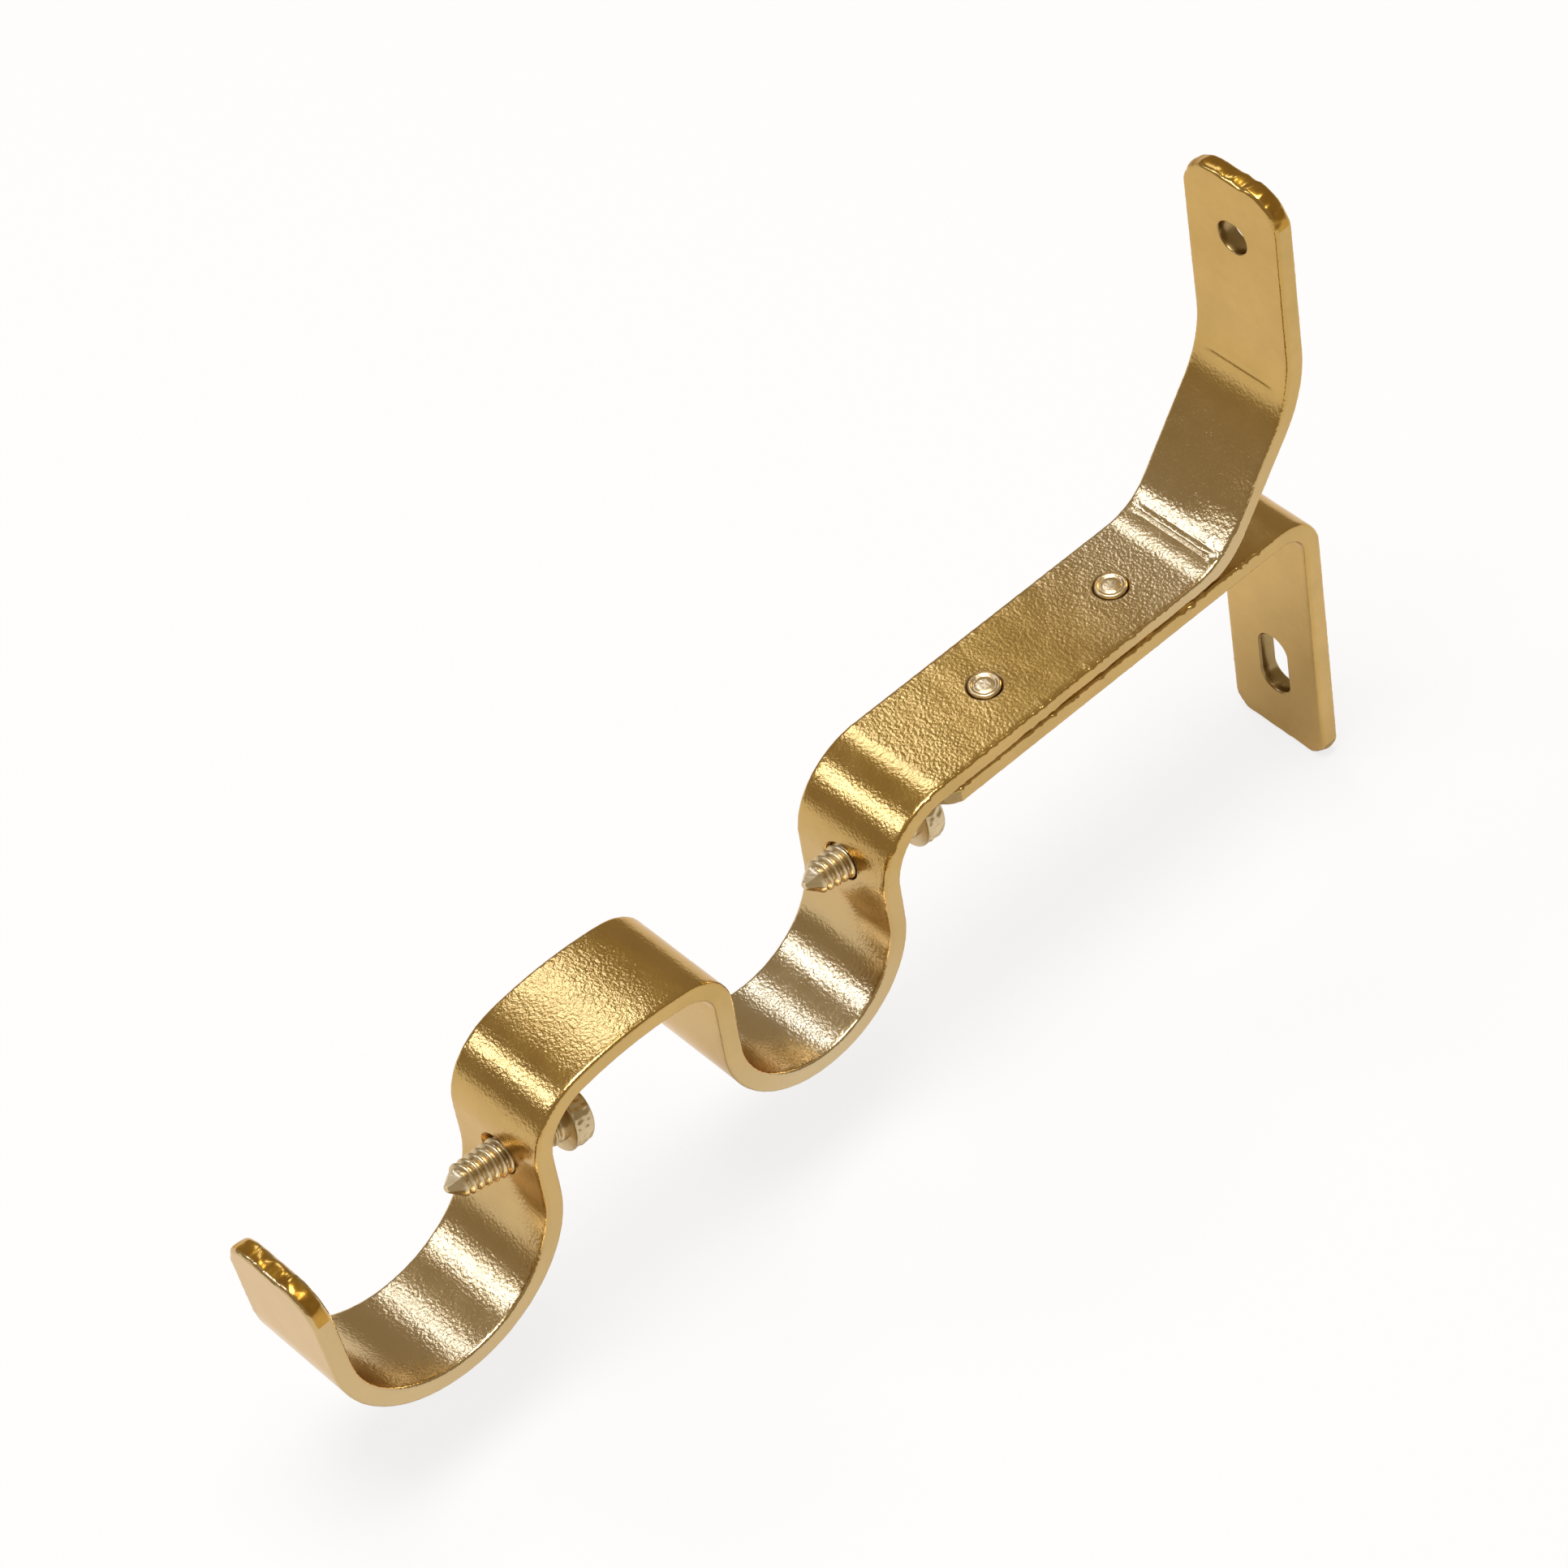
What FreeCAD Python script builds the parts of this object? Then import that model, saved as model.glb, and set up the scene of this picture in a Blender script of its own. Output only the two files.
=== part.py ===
"""Double curtain pole bracket, bent from flat strip, in millimetres.

The origin is the centre of the upper wall hole on the wall plane. +Z is up, the wall is the
plane y = 0 and the room lies towards -Y. X runs along the poles, across both strips.
"""
import FreeCAD, Part
import math
import os
import re
from types import SimpleNamespace

import Sketcher

SIZES = {
    # both strips
    "strip_width": 15.0,
    "strip_thickness": 2.5,
    "strip_edge_round": 0.45,
    # upper wall tab
    "wall_hole_diameter": 4.5,
    "tab_top_above_hole": 9.0,
    "tab_straight_below_hole": 14.9,
    "end_corner_radius": 4.5,
    # run from the tab down to the arm, with the bends' inside radii
    "upper_bend_radius": 16.0,
    "slope_from_vertical": 37.0,
    "arm_bend_radius": 8.0,
    "arm_drop": 40.6,
    # rear cradle, nearest the wall
    "rear_pole_projection": 83.0,
    "rear_cradle_radius": 11.6,
    "rear_cradle_drop": 14.3,
    "drop_bend_radius": 8.0,
    # hump between the cradles
    "rise_bend_radius": 4.6,
    "hump_radius": 43.5,
    "hump_rise": 0.35,
    "fall_bend_radius": 7.0,
    # front cradle and its lip
    "pole_spacing": 56.0,
    "front_cradle_radius": 14.4,
    "front_cradle_drop": 13.8,
    "lip_height": 12.3,
    "lip_lean": 4.5,
    # pressed creases inside the two bends below the upper tab
    "crease_radius": 0.9,
    "crease_depth": 0.25,
    "upper_crease_length": 10.0,
    "arm_crease_length": 12.0,
    # support strip
    "support_bend_radius": 3.8,
    "hole_to_slot": 71.5,
    "slot_to_bottom": 12.4,
    "slot_width": 4.5,
    "slot_length": 9.5,
    "support_corner_radius": 2.8,
    # rivets
    "rivet_rear_projection": 26.5,
    "rivet_spacing": 20.5,
    "rivet_diameter": 4.0,
    "rivet_hole_clearance": 0.1,
    "rivet_mouth_diameter": 4.9,
    "rivet_mouth_angle": 90.0,
    "rivet_flare": 0.2,
    "rivet_end_rise": 0.35,
    "rivet_end_chamfer": 0.2,
    "rivet_dish_diameter": 2.6,
    "rivet_dish_depth": 0.2,
    "rivet_head_diameter": 7.0,
    "rivet_head_height": 1.5,
    "rivet_head_round": 1.2,
    # clamp screws
    "screw_diameter": 4.8,
    "screw_hole_clearance": 0.05,
    "screw_length": 16.0,
    "screw_point_length": 1.9,
    "screw_point_diameter": 1.7,
    "screw_head_diameter": 7.8,
    "screw_head_height": 3.2,
    "screw_head_round": 1.2,
    "screw_slot_width": 1.2,
    "screw_slot_depth": 1.4,
    "rear_screw_drop": 8.4,
    "rear_screw_tilt": 7.0,
    "rear_screw_reach": 5.7,
    "front_screw_drop": 12.0,
    "front_screw_tilt": 10.0,
    "front_screw_reach": 7.8,
}

size = SimpleNamespace(**SIZES)
half_thickness = size.strip_thickness / 2
half_width = size.strip_width / 2
arm_height = half_thickness - size.arm_drop
front_pole_projection = size.rear_pole_projection + size.pole_spacing

START = 1
END = 2
CENTRE = 3
ORIGIN = (-1, 1)
SAME_PLACE = 1e-4


def make_sheet(doc):
    """Write every driving size to a named cell."""
    sheet = doc.addObject("Spreadsheet::Sheet", "sizes")
    for row, (name, value) in enumerate(SIZES.items(), start=1):
        sheet.set(f"A{row}", name)
        sheet.set(f"B{row}", str(value))
        sheet.setAlias(f"B{row}", name)
    doc.recompute()


def from_sheet(formula):
    """Point each size in a formula at its cell."""
    return re.sub(r"[a-z_]+", lambda word: f"sizes.{word[0]}" if word[0] in SIZES else word[0], formula)


def bind(item, path, formula):
    """Drive one property by a formula of the sizes."""
    item.setExpression(path, from_sheet(formula))


def make_body(doc, label):
    """Start the body of one piece, named after its node."""
    body = doc.addObject("PartDesign::Body", label)
    body.Label = label
    return body


def make_sketch(body, label, plane, offset="0"):
    """Start a sketch on one of the body's planes, moved along the plane's normal."""
    sketch = body.newObject("Sketcher::SketchObject", label)
    support = [item for item in body.Origin.OriginFeatures if item.Role == plane]
    sketch.AttachmentSupport = support
    sketch.MapMode = "FlatFace"
    bind(sketch, "AttachmentOffset.Base.z", offset)
    return sketch


def drive(sketch, kind, elements, formula):
    """Add a dimension whose value is a formula of the sizes."""
    value = float(sketch.evalExpression(from_sheet(formula)))
    start_value = math.radians(value) if kind == "Angle" else value
    index = sketch.addConstraint(Sketcher.Constraint(kind, *elements, start_value))
    bind(sketch, f"Constraints[{index}]", formula)


def tie(sketch, kind, *elements):
    """Add a constraint that has no dimension."""
    sketch.addConstraint(Sketcher.Constraint(kind, *elements))


def place(sketch, axis, element, position, formula):
    """Set a point's distance from the sketch's origin along X or Y."""
    value = float(sketch.evalExpression(from_sheet(formula)))
    point = (element, position)
    if abs(value) < 1e-9:
        tie(sketch, "PointOnObject", *point, -2 if axis == "X" else -1)
    elif value > 0:
        drive(sketch, "Distance" + axis, ORIGIN + point, formula)
    else:
        drive(sketch, "Distance" + axis, point + ORIGIN, f"-({formula})")


def draw_outline(sketch, corners):
    """Draw a closed outline through corners whose places are formulas of the sizes."""
    points = []
    for across, up in corners:
        x = float(sketch.evalExpression(from_sheet(across)))
        y = float(sketch.evalExpression(from_sheet(up)))
        points.append(FreeCAD.Vector(x, y, 0))
    lines = []
    for start, end in zip(points, points[1:] + points[:1]):
        lines.append(sketch.addGeometry(Part.LineSegment(start, end)))
    for line, (across, up) in zip(lines, corners):
        tie(sketch, "Coincident", line - 1 if line > lines[0] else lines[-1], END, line, START)
        place(sketch, "X", line, START, across)
        place(sketch, "Y", line, START, up)


class StripLine:
    """Draws a strip's middle line, one straight run or bend after another, all tangent."""

    def __init__(self, sketch, start, heading):
        self.sketch = sketch
        self.point = FreeCAD.Vector(*start, 0)
        self.heading = math.radians(heading)
        self.loose_end = None

    def join(self, element, near, far):
        """Tie an element's near end to the line so far and leave its far end loose."""
        if self.loose_end:
            tie(self.sketch, "Tangent", *self.loose_end, element, near)
        self.loose_end = (element, far)
        return element

    def run(self, length):
        """Go straight on."""
        end = self.point + FreeCAD.Vector(math.cos(self.heading), math.sin(self.heading), 0) * length
        element = self.sketch.addGeometry(Part.LineSegment(self.point, end))
        self.point = end
        return self.join(element, START, END)

    def bend(self, radius, turn):
        """Turn by an angle in degrees, anticlockwise when positive."""
        side = math.copysign(1, turn)
        sweep = math.radians(turn)
        normal = FreeCAD.Vector(-math.sin(self.heading), math.cos(self.heading), 0) * side
        centre = self.point + normal * radius
        first = self.heading - side * math.pi / 2
        circle = Part.Circle(centre, FreeCAD.Vector(0, 0, 1), radius)
        arc = Part.ArcOfCircle(circle, min(first, first + sweep), max(first, first + sweep))
        element = self.sketch.addGeometry(arc)
        self.heading += sweep
        last = first + sweep
        self.point = centre + FreeCAD.Vector(math.cos(last), math.sin(last), 0) * radius
        near, far = (START, END) if turn > 0 else (END, START)
        return self.join(element, near, far)


def middle(inside_radius):
    """Radius of the middle line of a bend."""
    return inside_radius + half_thickness


def bend_radius(sketch, element, name):
    """Set an arc of the middle line from the bend's inside radius."""
    drive(sketch, "Radius", (element,), f"{name} + strip_thickness / 2")


def arm_start_projection():
    """How far from the wall the bend out of the slope ends and the level arm starts."""
    slope = math.radians(size.slope_from_vertical)
    upper_bend = middle(size.upper_bend_radius) * (1 - math.cos(slope))
    slope_run = slope_length() * math.sin(slope)
    return half_thickness + upper_bend + slope_run + middle(size.arm_bend_radius) * math.cos(slope)


def slope_length():
    """Straight length left between the two bends below the upper tab."""
    slope = math.radians(size.slope_from_vertical)
    upper_fall = middle(size.upper_bend_radius) * math.sin(slope)
    arm_fall = middle(size.arm_bend_radius) * (1 - math.sin(slope))
    whole_fall = -size.tab_straight_below_hole - arm_height
    return (whole_fall - upper_fall - arm_fall) / math.cos(slope)


def draw_pole_strip_line(body):
    """The long strip from the top of the wall tab to the tip of the lip, seen from the side."""
    sketch = make_sketch(body, "pole_strip_line", "YZ_Plane")
    upper = middle(size.upper_bend_radius)
    lower = middle(size.arm_bend_radius)
    drop = middle(size.drop_bend_radius)
    rear = middle(size.rear_cradle_radius)
    rise = middle(size.rise_bend_radius)
    hump = middle(size.hump_radius)
    fall = middle(size.fall_bend_radius)
    front = middle(size.front_cradle_radius)

    arm_length = size.rear_pole_projection - rear - drop - arm_start_projection()
    gap = size.pole_spacing - front - rear
    crown = math.asin((gap - rise - fall) / (2 * hump - rise - fall))
    crown_foot = size.hump_rise - hump * (1 - math.cos(crown))
    riser_length = crown_foot - rise * math.cos(crown) + size.rear_cradle_drop
    front_neck_length = crown_foot - fall * math.cos(crown) + size.front_cradle_drop
    lean = math.radians(size.lip_lean)
    lip_length = (size.lip_height + front * math.sin(lean)) / math.cos(lean)
    crown_angle = math.degrees(crown)

    strip = StripLine(sketch, (-half_thickness, size.tab_top_above_hole), -90)
    tab = strip.run(size.tab_top_above_hole + size.tab_straight_below_hole)
    upper_bend = strip.bend(upper, -size.slope_from_vertical)
    slope_run = strip.run(slope_length())
    arm_bend = strip.bend(lower, size.slope_from_vertical - 90)
    arm = strip.run(arm_length)
    drop_bend = strip.bend(drop, 90)
    rear_neck = strip.run(size.rear_cradle_drop - drop)
    rear_cradle = strip.bend(rear, -180)
    riser = strip.run(riser_length)
    rise_bend = strip.bend(rise, 90 - crown_angle)
    hump_top = strip.bend(hump, 2 * crown_angle)
    fall_bend = strip.bend(fall, 90 - crown_angle)
    front_neck = strip.run(front_neck_length)
    front_cradle = strip.bend(front, size.lip_lean - 180)
    lip = strip.run(lip_length)

    for upright in (tab, rear_neck, riser, front_neck):
        tie(sketch, "Vertical", upright)
    place(sketch, "X", tab, START, "-strip_thickness / 2")
    place(sketch, "Y", tab, START, "tab_top_above_hole")
    place(sketch, "Y", tab, END, "-tab_straight_below_hole")
    bend_radius(sketch, upper_bend, "upper_bend_radius")
    drive(sketch, "Angle", (slope_run,), "-90 - slope_from_vertical")
    bend_radius(sketch, arm_bend, "arm_bend_radius")
    tie(sketch, "Horizontal", arm)
    place(sketch, "Y", arm, START, "strip_thickness / 2 - arm_drop")
    bend_radius(sketch, drop_bend, "drop_bend_radius")
    bend_radius(sketch, rear_cradle, "rear_cradle_radius")
    place(sketch, "X", rear_cradle, CENTRE, "-rear_pole_projection")
    place(sketch, "Y", rear_cradle, CENTRE, "strip_thickness / 2 - arm_drop - rear_cradle_drop")
    bend_radius(sketch, rise_bend, "rise_bend_radius")
    bend_radius(sketch, hump_top, "hump_radius")
    tie(sketch, "Horizontal", hump_top, START, hump_top, END)
    place(sketch, "Y", hump_top, CENTRE, "hump_rise - arm_drop - hump_radius")
    bend_radius(sketch, fall_bend, "fall_bend_radius")
    bend_radius(sketch, front_cradle, "front_cradle_radius")
    place(sketch, "X", front_cradle, CENTRE, "-rear_pole_projection - pole_spacing")
    place(sketch, "Y", front_cradle, CENTRE, "strip_thickness / 2 - arm_drop - front_cradle_drop")
    drive(sketch, "Angle", (lip,), "90 + lip_lean")
    place(sketch, "Y", lip, END, "strip_thickness / 2 - arm_drop - front_cradle_drop + lip_height")
    return sketch


def draw_support_strip_line(body):
    """The short strip from the foot of the lower wall tab to its end under the arm."""
    sketch = make_sketch(body, "support_strip_line", "YZ_Plane")
    foot = -size.hole_to_slot - size.slot_to_bottom
    corner = middle(size.support_bend_radius)
    level = -size.arm_drop - half_thickness
    arm_end = size.rear_pole_projection - size.rear_cradle_radius - size.drop_bend_radius
    strip = StripLine(sketch, (-half_thickness, foot), 90)
    tab = strip.run(level - corner - foot)
    bend = strip.bend(corner, 90)
    brace = strip.run(arm_end - size.strip_thickness - half_thickness - corner)
    tie(sketch, "Vertical", tab)
    tie(sketch, "Horizontal", brace)
    place(sketch, "X", tab, START, "-strip_thickness / 2")
    place(sketch, "Y", tab, START, "-hole_to_slot - slot_to_bottom")
    bend_radius(sketch, bend, "support_bend_radius")
    place(sketch, "Y", brace, START, "-arm_drop - strip_thickness / 2")
    end = "strip_thickness + drop_bend_radius + rear_cradle_radius - rear_pole_projection"
    place(sketch, "X", brace, END, end)
    return sketch


def draw_strip_section(body, label, height):
    """The strip's cross-section, a rectangle with rounded long edges, flat on the wall plane."""
    sketch = make_sketch(body, label, "XY_Plane", height)
    corner = size.strip_edge_round
    flat_x = half_width - corner
    flat_y = half_thickness - corner
    up = FreeCAD.Vector(0, 0, 1)
    sides = []
    rounds = []
    for quarter in range(4):
        turn = FreeCAD.Rotation(up, 90 * quarter)
        along, across = (flat_x, flat_y) if quarter % 2 == 0 else (flat_y, flat_x)
        start = turn.multVec(FreeCAD.Vector(-along, -across - corner, 0))
        end = turn.multVec(FreeCAD.Vector(along, -across - corner, 0))
        centre = turn.multVec(FreeCAD.Vector(along, -across, 0))
        shift = FreeCAD.Vector(0, -half_thickness, 0)
        side = Part.LineSegment(start + shift, end + shift)
        first = math.radians(90 * (quarter - 1))
        circle = Part.Circle(centre + shift, up, corner)
        sides.append(sketch.addGeometry(side))
        rounds.append(sketch.addGeometry(Part.ArcOfCircle(circle, first, first + math.pi / 2)))
    for quarter in range(4):
        tie(sketch, "Tangent", sides[quarter], END, rounds[quarter], START)
        tie(sketch, "Tangent", rounds[quarter], END, sides[(quarter + 1) % 4], START)
        tie(sketch, "Horizontal" if quarter % 2 == 0 else "Vertical", sides[quarter])
        drive(sketch, "Radius", (rounds[quarter],), "strip_edge_round")
    room_face, right, wall_face, left = sides
    place(sketch, "Y", room_face, START, "-strip_thickness")
    place(sketch, "Y", wall_face, START, "0")
    place(sketch, "X", right, START, "strip_width / 2")
    place(sketch, "X", left, START, "-strip_width / 2")
    return sketch


def sweep_strip(body, line, section):
    """Sweep the cross-section along the middle line, kept level across the strip."""
    sweep = body.newObject("PartDesign::AdditivePipe", body.Label + "_sweep")
    sweep.Profile = section
    sweep.Spine = line
    sweep.Mode = "Binormal"
    sweep.Binormal = FreeCAD.Vector(1, 0, 0)
    body.Document.recompute()


def cut_sketch(body, sketch, label, sides="Symmetric", depth=None):
    """Cut a sketch out of the body, through everything or to a depth."""
    pocket = body.newObject("PartDesign::Pocket", label)
    pocket.Profile = sketch
    pocket.SideType = sides
    pocket.Reversed = sides == "One side"
    pocket.Type = "Length" if depth else "ThroughAll"
    if depth:
        bind(pocket, "Length", depth)
    body.Document.recompute()


def round_end(body, label, plane, end, inward, radius, offset="0", sides="Symmetric"):
    """Cut both corners of a strip's end to a radius.

    The end lies at a height in the sketch, and inward is 1 or -1, the way back to the strip.
    """
    sketch = make_sketch(body, label + "_corners", plane, offset)
    level = float(sketch.evalExpression(from_sheet(end)))
    corner = SIZES[radius]
    quarters = [(1, -1), (-1, -1), (-1, 1), (1, 1)]
    for side, sign in ((1, ""), (-1, "-")):
        centre = FreeCAD.Vector(side * (half_width - corner), level + inward * corner, 0)
        tip = centre - FreeCAD.Vector(0, inward * corner, 0)
        flank = centre + FreeCAD.Vector(side * corner, 0, 0)
        outer = FreeCAD.Vector(side * half_width, level, 0)
        first = quarters.index((side, inward)) * math.pi / 2
        circle = Part.Circle(centre, FreeCAD.Vector(0, 0, 1), corner)
        arc = sketch.addGeometry(Part.ArcOfCircle(circle, first, first + math.pi / 2))
        end_line = sketch.addGeometry(Part.LineSegment(tip, outer))
        side_line = sketch.addGeometry(Part.LineSegment(outer, flank))
        near, far = (START, END) if side == inward else (END, START)
        tie(sketch, "Tangent", arc, near, end_line, START)
        tie(sketch, "Coincident", end_line, END, side_line, START)
        tie(sketch, "Tangent", side_line, END, arc, far)
        tie(sketch, "Horizontal", end_line)
        tie(sketch, "Vertical", side_line)
        drive(sketch, "Radius", (arc,), radius)
        place(sketch, "X", side_line, START, f"{sign}strip_width / 2")
        place(sketch, "Y", side_line, START, end)
    cut_sketch(body, sketch, label + "_rounding", sides)


def add_circle(sketch, across, up, diameter):
    """Draw a circle whose centre and diameter are formulas of the sizes."""
    x = float(sketch.evalExpression(from_sheet(across)))
    y = float(sketch.evalExpression(from_sheet(up)))
    centre = FreeCAD.Vector(x, y, 0)
    circle = sketch.addGeometry(Part.Circle(centre, FreeCAD.Vector(0, 0, 1), 1.0))
    drive(sketch, "Diameter", (circle,), diameter)
    place(sketch, "X", circle, CENTRE, across)
    place(sketch, "Y", circle, CENTRE, up)


def draw_rivet_holes(body, label, height):
    """Both rivet holes, on the strips' middle line."""
    sketch = make_sketch(body, label, "XY_Plane", height)
    diameter = "rivet_diameter + 2 * rivet_hole_clearance"
    add_circle(sketch, "0", "-rivet_rear_projection", diameter)
    add_circle(sketch, "0", "-rivet_rear_projection - rivet_spacing", diameter)
    return sketch


def screw_seat(which):
    """Where a clamp screw's axis meets the front of its neck, and the way its point faces."""
    tilt = math.radians(SIZES[which + "_screw_tilt"])
    pole = front_pole_projection if which == "front" else size.rear_pole_projection
    neck = pole - SIZES[which + "_cradle_radius"]
    seat = FreeCAD.Vector(0, -neck, arm_height - SIZES[which + "_screw_drop"])
    return seat, FreeCAD.Vector(0, -math.cos(tilt), math.sin(tilt))


def cut_rod(body, label, middle_point, axis, radius, length):
    """Cut a round rod out of the body, centred on a point and lying along an axis."""
    rod = body.newObject("PartDesign::SubtractiveCylinder", label)
    bind(rod, "Radius", radius)
    bind(rod, "Height", length)
    turn = FreeCAD.Rotation(FreeCAD.Vector(0, 0, 1), axis)
    reach = float(rod.evalExpression(from_sheet(length))) / 2
    rod.Placement = FreeCAD.Placement(middle_point - axis * reach, turn)
    body.Document.recompute()


def press_crease(body, label, centre, angle, bend, length):
    """Press a shallow groove across the inside of a bend, at an angle below its level radius."""
    depth = SIZES[bend] + size.crease_depth - size.crease_radius
    turn = math.radians(angle)
    inward = FreeCAD.Vector(0, math.cos(turn), -math.sin(turn))
    cut_rod(body, label, centre + inward * depth, FreeCAD.Vector(1, 0, 0), "crease_radius", length)


def make_pole_strip(doc):
    """The long bent strip with the upper wall tab, the arm, both cradles and the lip."""
    body = make_body(doc, "pole_strip")
    line = draw_pole_strip_line(body)
    sweep_strip(body, line, draw_strip_section(body, "pole_strip_section", "tab_top_above_hole"))

    round_end(body, "tab_top", "XZ_Plane", "tab_top_above_hole", -1, "end_corner_radius")
    lip_top = "strip_thickness / 2 - arm_drop - front_cradle_drop + lip_height"
    cradle_middle = "rear_pole_projection + pole_spacing"
    round_end(body, "lip_top", "XZ_Plane", lip_top, -1, "end_corner_radius", cradle_middle, "One side")

    hole = make_sketch(body, "wall_hole_circle", "XZ_Plane")
    add_circle(hole, "0", "0", "wall_hole_diameter")
    cut_sketch(body, hole, "wall_hole")

    holes = draw_rivet_holes(body, "arm_rivet_circles", "strip_thickness - arm_drop")
    doc.recompute()
    rivet_holes = body.newObject("PartDesign::Hole", "arm_rivet_holes")
    rivet_holes.Profile = holes
    rivet_holes.DepthType = "ThroughAll"
    rivet_holes.HoleCutType = "Countersink"
    rivet_holes.HoleCutCustomValues = True
    bind(rivet_holes, "HoleCutCountersinkAngle", "rivet_mouth_angle")
    bind(rivet_holes, "Diameter", "rivet_diameter + 2 * rivet_hole_clearance")
    bind(rivet_holes, "HoleCutDiameter", "rivet_mouth_diameter")
    doc.recompute()

    for which in ("rear", "front"):
        seat, axis = screw_seat(which)
        radius = "screw_diameter / 2 + screw_hole_clearance"
        label = which + "_screw_hole"
        cut_rod(body, label, seat - axis * half_thickness, axis, radius, "4 * strip_thickness")

    upper = middle(size.upper_bend_radius)
    upper_centre = FreeCAD.Vector(0, -half_thickness - upper, -size.tab_straight_below_hole)
    half_turn = size.slope_from_vertical / 2
    length = "upper_crease_length"
    press_crease(body, "upper_crease", upper_centre, half_turn, "upper_bend_radius", length)
    arm_start = arm_start_projection()
    arm_centre = FreeCAD.Vector(0, -arm_start, arm_height + middle(size.arm_bend_radius))
    half_turn = (90 + size.slope_from_vertical) / 2
    length = "arm_crease_length"
    press_crease(body, "arm_crease", arm_centre, half_turn, "arm_bend_radius", length)
    return body


def draw_slot(sketch):
    """The upright slot of the lower wall tab."""
    radius = size.slot_width / 2
    reach = size.slot_length / 2 - radius
    up = FreeCAD.Vector(0, 0, 1)
    top = FreeCAD.Vector(0, -size.hole_to_slot + reach, 0)
    bottom = FreeCAD.Vector(0, -size.hole_to_slot - reach, 0)
    side = FreeCAD.Vector(radius, 0, 0)
    cap = sketch.addGeometry(Part.ArcOfCircle(Part.Circle(top, up, radius), 0, math.pi))
    left = sketch.addGeometry(Part.LineSegment(top - side, bottom - side))
    cup = sketch.addGeometry(Part.ArcOfCircle(Part.Circle(bottom, up, radius), math.pi, 2 * math.pi))
    right = sketch.addGeometry(Part.LineSegment(bottom + side, top + side))
    loop = [cap, left, cup, right]
    for element, following in zip(loop, loop[1:] + loop[:1]):
        tie(sketch, "Tangent", element, END, following, START)
    tie(sketch, "Vertical", left)
    drive(sketch, "Radius", (cap,), "slot_width / 2")
    place(sketch, "X", cap, CENTRE, "0")
    place(sketch, "Y", cap, CENTRE, "slot_length / 2 - slot_width / 2 - hole_to_slot")
    place(sketch, "Y", cup, CENTRE, "slot_width / 2 - slot_length / 2 - hole_to_slot")


def make_support_strip(doc):
    """The L-shaped strip under the arm, with the lower wall tab and its slot."""
    body = make_body(doc, "support_strip")
    line = draw_support_strip_line(body)
    foot = "-hole_to_slot - slot_to_bottom"
    sweep_strip(body, line, draw_strip_section(body, "support_strip_section", foot))

    round_end(body, "tab_foot", "XZ_Plane", foot, 1, "support_corner_radius")
    arm_end = "strip_thickness + drop_bend_radius + rear_cradle_radius - rear_pole_projection"
    round_end(body, "brace_end", "XY_Plane", arm_end, 1, "support_corner_radius", "-arm_drop")

    slot = make_sketch(body, "slot_outline", "XZ_Plane")
    draw_slot(slot)
    cut_sketch(body, slot, "wall_slot")

    holes = draw_rivet_holes(body, "brace_rivet_circles", "-arm_drop")
    cut_sketch(body, holes, "brace_rivet_holes")
    return body


def turn_outline(body, label, corners):
    """Turn a closed outline, drawn beside the body's Z axis, into a solid of revolution."""
    sketch = make_sketch(body, label + "_outline", "XZ_Plane")
    draw_outline(sketch, corners)
    turned = body.newObject("PartDesign::Revolution", label + "_turned")
    turned.Profile = sketch
    turned.ReferenceAxis = (sketch, ["V_Axis"])
    turned.Angle = 360
    body.Document.recompute()
    return turned


def round_rim(body, label, height, diameter, radius):
    """Round the circular edge that lies at a height on the body's own Z axis."""
    base = body.Tip
    rims = []
    for number, edge in enumerate(base.Shape.Edges, start=1):
        box = edge.BoundBox
        level = max(abs(box.ZMin - height), abs(box.ZMax - height)) < SAME_PLACE
        if level and hasattr(edge.Curve, "Radius"):
            if abs(edge.Curve.Radius - diameter / 2) < SAME_PLACE:
                rims.append(f"Edge{number}")
    fillet = body.newObject("PartDesign::Fillet", label)
    fillet.Base = (base, rims)
    bind(fillet, "Radius", radius)
    body.Document.recompute()


def make_rivet(doc, label, projection):
    """A rivet, headed under the support strip and flared and dished on top of the arm.

    Its own origin lies on its axis in the arm's top face.
    """
    body = make_body(doc, label)
    head_bottom = "-2 * strip_thickness - rivet_head_height"
    rim = "rivet_diameter / 2 + rivet_flare"
    corners = [
        ("0", head_bottom),
        ("rivet_head_diameter / 2", head_bottom),
        ("rivet_head_diameter / 2", "-2 * strip_thickness"),
        ("rivet_diameter / 2", "-2 * strip_thickness"),
        ("rivet_diameter / 2", "-rivet_flare"),
        (rim, "0"),
        (rim, "rivet_end_rise - rivet_end_chamfer"),
        (rim + " - rivet_end_chamfer", "rivet_end_rise"),
        ("rivet_dish_diameter / 2", "rivet_end_rise"),
        ("0", "rivet_end_rise - rivet_dish_depth"),
    ]
    turn_outline(body, label, corners)
    bottom = -2 * size.strip_thickness - size.rivet_head_height
    round_rim(body, label + "_head_round", bottom, size.rivet_head_diameter, "rivet_head_round")
    bind(body, "Placement.Base.y", projection)
    bind(body, "Placement.Base.z", "strip_thickness - arm_drop")
    return body


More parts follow.
